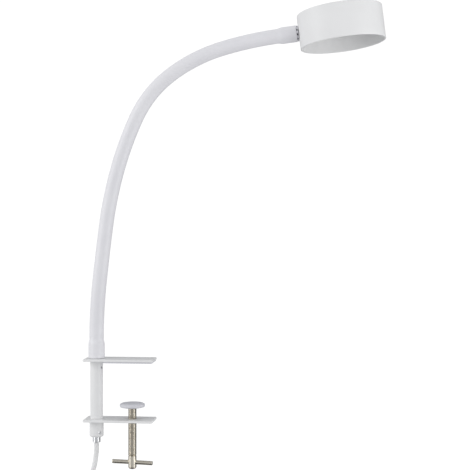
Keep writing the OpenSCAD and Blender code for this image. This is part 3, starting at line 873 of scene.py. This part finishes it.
def make_screw():
    z0, z1 = THREAD_Z
    verts, faces, root = thread(SCREW_R, THREAD_PITCH, z0, z1)
    ends = [
        lathe([(0, z1), (root, z1)], 48),
        lathe([(root, z0), (0, z0)], 48)]
    wall = piece("screw_thread", joined((verts, faces), *ends))
    dress(wall, "nickel", "screw", "clamp_screw")
    shank = piece("screw_shank", lathe(rounded(
        [(0, SCREW_END), (SCREW_R - 1.2, SCREW_END, 1.5), (SCREW_R, SCREW_END + 2.2, 1.5),
         (SCREW_R, z0 + 0.2, 0.6), (root - 0.2, z0 + 1.1, 0.1), (0, z0 + 1.1)]), 64))
    along_bar = place_at(0, 0, BAR_Z) @ facing(90 + math.degrees(BAR_TURN))
    cut(shank, moved(lathe([(0, -9), (BAR_R + 0.03, -9), (BAR_R + 0.03, 9), (0, 9)], 40), along_bar))
    shade(shank)
    dress(shank, "nickel", "screw")
    arc = [(BALL_R * math.cos(math.radians(a)), BALL_Z + BALL_R * math.sin(math.radians(a)))
           for a in range(-35, 91, 9)]
    neck = [(0, z1 - 1), (3, z1 - 1), (3, BALL_Z - 2.7)]
    tip = piece("screw_ball_tip", lathe(neck + arc[:-1] + [(0, BALL_Z + BALL_R)], 48))
    dress(tip, "nickel", "screw")
    bar = piece("tommy_bar_rod", moved(lathe(rounded(
        [(0, -BAR_L / 2), (BAR_R - 0.2, -BAR_L / 2, 0.5), (BAR_R, -BAR_L / 2 + 0.8, 0.4),
         (BAR_R, BAR_L / 2 - 0.8, 0.4), (BAR_R - 0.2, BAR_L / 2, 0.5), (0, BAR_L / 2)]), 40), along_bar))
    dress(bar, "nickel", "screw", "tommy_bar")


def make_pad():
    low, high = PAD_Z
    socket_r = BALL_R + 0.1
    pocket = [
        (socket_r * math.cos(math.radians(a)), BALL_Z + socket_r * math.sin(math.radians(a)))
        for a in (60, 30, 0, -22)]
    profile = [(0, BALL_Z + socket_r)] + pocket + [
        (BALL_R - 0.1, low + 0.2), (7, low, 0.3), (9, low + 0.5, 0.3), (14.5, low + 0.5, 0.4),
        (15.5, low, 0.3), (PAD_R - 0.9, low, 0.8), (PAD_R, low + 1.2, 1), (PAD_R, high - 1.6, 1.6),
        (PAD_R - 2.6, high - 0.1, 1.5), (0, high)]
    pad = piece("round_pad", lathe(rounded(profile), 96))
    dress(pad, "white_plastic", "pad", "pressure_pad")


make_screw()
make_pad()


# ---- the head ----

def head_matrix():
    """The head's own frame in millimetres: +X away from the arm, +Z up the drum's axis."""
    end, heading = arm_at(ARM_L)
    out = Vector((math.sin(heading), 0, math.cos(heading)))
    centre = end + (DRUM_R + WALL_GAP) * out
    return Matrix.Translation(centre) @ Matrix.Rotation(heading - math.pi / 2, 4, "Y")


HEAD = head_matrix()
TO_SIDE = Matrix.Rotation(math.pi / 2, 4, "Y")


def head_piece(name, mesh_data, slot, *nodes, tools=(), bevel=0, body="head"):
    """A piece drawn in the head's frame. tools are closed meshes in that frame, cut out of it."""
    obj = piece(name, mesh_data)
    cut(obj, *tools)
    if bevel:
        soften(obj, bevel, 2)
    obj.data.transform(Matrix.Scale(1 / MM, 4))
    obj.data.transform(HEAD)
    obj.data.transform(Matrix.Scale(MM, 4))
    shade(obj)
    return dress(obj, slot, body, *nodes)


def drill(x, y, r, z0=-40, z1=40):
    return moved(lathe([(0, z0), (r, z0), (r, z1), (0, z1)], 32), place_at(x, y, 0))


def make_shade():
    inner = DRUM_R - DRUM_WALL
    ceiling = DRUM_HALF - TOP_WALL
    spans = 9
    wall = [-DRUM_HALF + 1 + (2 * DRUM_HALF - 4.5) * k / spans for k in range(spans + 1)]
    outline = rounded([(inner, -DRUM_HALF, 0.6), (DRUM_R, -DRUM_HALF, 0.6), (DRUM_R, -DRUM_HALF + 1)])
    outline += [(DRUM_R, z) for z in wall[1:]]
    outline += rounded([(DRUM_R, 20), (DRUM_R, DRUM_HALF, 2.5), (50, DRUM_HALF)], steps=8)[1:-1]
    outline += [(r, DRUM_HALF) for r in (50, 40, 30, 20, 12)] + [(SWITCH_R + 0.1, DRUM_HALF)]
    outline += [(SWITCH_R + 0.1, ceiling), (20, ceiling), (40, ceiling)]
    outline += rounded([(50, ceiling), (inner, ceiling, 0.8), (inner, 18)])[1:-1]
    outline += [(inner, z) for z in reversed(wall)]
    hole = moved(lathe([(0, -8), (5.15, -8), (5.15, 8), (0, 8)], 48), place_at(-DRUM_R, 0, 0) @ TO_SIDE)
    head_piece("drum_shade", lathe(outline, 180, closed=True), "white_metal", "shade", tools=[hole])


def make_washer():
    """Notched ring round the ferrule's boss: a thin web against the drum with blocks standing from it.
    Between the blocks the boss's dark face shows, painted shade standing for the shade in the gaps.
    """
    count, gap, web, thick, inner_r, outer_r = 10, 3, 0.5, 2.2, 8.5, 11

    def arc(r, k):
        """Block k's curved side at radius r, which leaves half a gap at each end."""
        span = 2 * math.pi / count
        start = span * k + gap / (2 * r)
        angles = [start + (span - gap / r) * i / 6 for i in range(7)]
        return [(r * math.cos(a), r * math.sin(a)) for a in angles]

    edge = rounded([(inner_r, 0), (outer_r, 0, 0.2), (outer_r, web), (inner_r, web)], closed=True)
    parts = [lathe(edge, 80, closed=True)]
    for k in range(count):
        parts.append(prism(arc(outer_r, k) + arc(inner_r, k)[::-1], web - 0.05, thick))
    place = place_at(-DRUM_R - 0.2, 0, 0) @ Matrix.Rotation(-math.pi / 2, 4, "Y")
    head_piece("notched_ring", moved(joined(*parts), place), "white_plastic", "toothed_washer", bevel=0.15)


def make_nut():
    place = place_at(NUT_X, 0, 0) @ TO_SIDE
    nut = moved(prism(hexagon(8), 0, 4), place)
    bore = moved(lathe([(0, -2), (5, -2), (5, 6), (0, 6)], 40), place)
    head_piece("nipple_nut", nut, "nickel", "lock_nut", tools=[bore], bevel=0.35)


def make_inside():
    """What shows when the drum is seen from below: baffle, its screws, the bezel and the opal diffuser."""
    spots = [Matrix.Rotation(math.radians(a), 4, "Z") @ place_at(SPACER_R, 0, 0) for a in (90, 210, 330)]
    rim = DRUM_R - DRUM_WALL - 0.4
    low, high = BAFFLE_Z
    baffle = lathe(rounded([(0, low), (rim, low, 0.4), (rim, high, 0.4), (0, high)]), 128)
    holes = [drill(*s.translation[:2], 1.6) for s in spots]
    head_piece("baffle_disc", baffle, "white_metal", "baffle_plate",
               tools=[*holes, drill(-46, 0, 3.5), drill(-18, 8, 1.5), drill(34, -14, 1.95)])
    screw = lathe(rounded([
        (0, 6.9), (2.2, 6.9, 0.5), (2.9, 8.2, 0.4), (2.9, 8.95), (1.45, 8.95), (1.45, 16), (0, 16)]), 32)
    sockets = [moved(prism(hexagon(1.25), 6, 8), s) for s in spots]
    screws = joined(*[moved(screw, s) for s in spots])
    head_piece("disc_screws", screws, "zinc", "baffle_screws", tools=sockets)
    ring = rounded([(38, 0, 0.5), (41.2, 0, 0.8), (42, 0.9, 0.8), (42, 8.95, 0.3), (40, 8.95, 0.3), (40, 1.3),
                    (38, 1.3, 0.3)], closed=True)
    head_piece("bezel_ring", lathe(ring, 128, closed=True), "white_metal", "bezel")
    dome = [(0, 1.35), (10, 1.35), (20, 1.35), (30, 1.35), (39.7, 1.35), (39.7, 3.3), (30, 3.35), (0, 3.35)]
    head_piece("opal_disc", lathe(dome, 128), "opal", "diffuser")


def make_switch():
    """Round-bodied rocker switch in the drum's top."""
    top = DRUM_HALF + 0.05
    body = lathe(rounded([
        (0, 14.5), (SWITCH_R, 14.5, 0.5), (SWITCH_R, top), (10, top, 0.1), (10, top + 0.9, 0.5),
        (8.9, top + 1.75, 0.6), (0, top + 1.75)]), 72)
    pivot_place = place_at(0, 0, ROCKER_Z)
    well = block(-6.9, 6.9, -4.4, 4.4, 17.5, 30)
    pivot = moved(lathe([(0, -6), (1.05, -6), (1.05, 6), (0, 6)], 24), pivot_place @ facing(0))
    head_piece("switch_housing", body, "black_plastic", "switch_body", tools=[well, pivot])
    cap = rounded([(-3, -3, 0.5), (3, -3, 0.5), (6, 0, 0.8), (6.1, 4.2, 0.5), (2.6, 3.35, 3), (-2.6, 3.35, 3),
                   (-6.1, 4.2, 0.5), (-6, 0, 0.8)], closed=True)
    tilt = pivot_place @ Matrix.Rotation(ROCKER_REST, 4, "Y") @ Matrix.Rotation(math.pi / 2, 4, "X")
    pin = lathe([(0, -5.8), (1, -5.8), (1, 5.8), (0, 5.8)], 24)
    rocker = moved(joined(prism(cap, -4.2, 4.2)), tilt)
    head_piece("rocker_cap", rocker, "rocker", "switch_rocker", bevel=0.3, body="rocker")
    head_piece("rocker_pin", moved(pin, tilt), "rocker", body="rocker")


make_shade()
make_washer()
make_nut()
make_inside()
make_switch()


# ---- CAD nodes that keep their own shape ----

for row in frame["record"]["subparts"]:
    node = frame["nodes"][row["node"]]
    if not node.hide_render:
        node.data.materials.clear()
        node.data.materials.append(MATERIALS[row["material_slot"]])


# ---- stage and light ----

def plane(name, size, place):
    x, y = size[0] / 2, size[1] / 2
    mesh = bpy.data.meshes.new(name)
    mesh.from_pydata([(-x, -y, 0), (x, -y, 0), (x, y, 0), (-x, y, 0)], [], [(0, 1, 2, 3)])
    mesh.transform(place)
    obj = bpy.data.objects.new(name, mesh)
    bpy.context.scene.collection.objects.link(obj)
    return obj


def make_floor():
    floor = plane("floor", (40, 40), Matrix.Translation((0, 0, cad_box[0].z - 0.006)))
    floor.visible_diffuse = False
    floor.visible_glossy = False
    material, _, _, shader = new_material("pale_floor")
    shader.inputs["Roughness"].default_value = 0.9
    shader.inputs["Specular IOR Level"].default_value = 0
    shader.inputs["Base Color"].default_value = (0.3, 0.3, 0.3, 1)
    shader.inputs["Emission Color"].default_value = (1, 1, 1, 1)
    shader.inputs["Emission Strength"].default_value = 0.85
    floor.data.materials.append(material)


def look_from(position, target):
    turn = (Vector(target) - Vector(position)).to_track_quat("-Z", "Y").to_matrix().to_4x4()
    return Matrix.Translation(Vector(position)) @ turn


def make_light(name, position, target, size, power):
    data = bpy.data.lights.new(name, "AREA")
    data.shape = "RECTANGLE"
    data.size, data.size_y = size
    data.energy = power
    light = bpy.data.objects.new(name, data)
    light.matrix_world = look_from(position, target)
    bpy.context.scene.collection.objects.link(light)


def make_flag(name, position, target, size, grey):
    """A card that only reflections see, dark or bright."""
    card = plane(name, size, look_from(position, target))
    for ray in ("camera", "diffuse", "shadow", "transmission", "volume_scatter"):
        setattr(card, f"visible_{ray}", False)
    material, _, _, shader = new_material(name)
    shader.inputs["Base Color"].default_value = (0, 0, 0, 1)
    shader.inputs["Specular IOR Level"].default_value = 0
    shader.inputs["Emission Color"].default_value = (grey, grey, grey, 1)
    shader.inputs["Emission Strength"].default_value = 1
    card.data.materials.append(material)


def make_light_setup():
    world = bpy.data.worlds.new("studio")
    bpy.context.scene.world = world
    world.use_nodes = True
    nodes, links = world.node_tree.nodes, world.node_tree.links
    ambient = nodes["Background"]
    ambient.inputs["Color"].default_value = (0.97, 0.98, 1, 1)
    ambient.inputs["Strength"].default_value = 0.62
    seen = nodes.new("ShaderNodeBackground")
    seen.inputs["Color"].default_value = (1, 1, 1, 1)
    seen.inputs["Strength"].default_value = 1.05
    path = nodes.new("ShaderNodeLightPath")
    mix = nodes.new("ShaderNodeMixShader")
    links.new(path.outputs["Is Camera Ray"], mix.inputs["Fac"])
    links.new(ambient.outputs["Background"], mix.inputs[1])
    links.new(seen.outputs["Background"], mix.inputs[2])
    links.new(mix.outputs["Shader"], nodes["World Output"].inputs["Surface"])
    bpy.context.scene.view_settings.view_transform = "Standard"
    middle = (0.1, 0, 0.2)
    make_light("key_left", (-2.0, -0.9, 0.8), middle, (1.6, 2.0), 24)
    make_light("fill_right", (1.9, -0.9, 0.4), middle, (1.4, 1.8), 6.5)
    make_light("top", (0.2, 0.1, 2.2), middle, (1.8, 1.8), 4)
    make_light("under_head", (0.9, -0.5, 0.1), (0.28, 0, 0.45), (0.5, 0.5), 2)
    make_flag("flag_back", (-0.2, 1.6, 0.3), (-0.2, 0, 0.3), (2.4, 1.1), 0.04)
    make_flag("flag_right", (1.3, 1.2, 0), middle, (1.0, 2.4), 0.02)
    make_flag("flag_low", (0.1, -0.7, -1.1), (0.1, -0.2, 0), (2.4, 1.4), 0.03)
    make_flag("streak_left", (-1.6, -1.0, -0.5), (0, 0, -0.12), (0.4, 1.2), 3)
    make_flag("streak_right", (1.7, -0.85, -0.5), (0, 0, -0.12), (0.35, 1.2), 3)


make_floor()
make_light_setup()
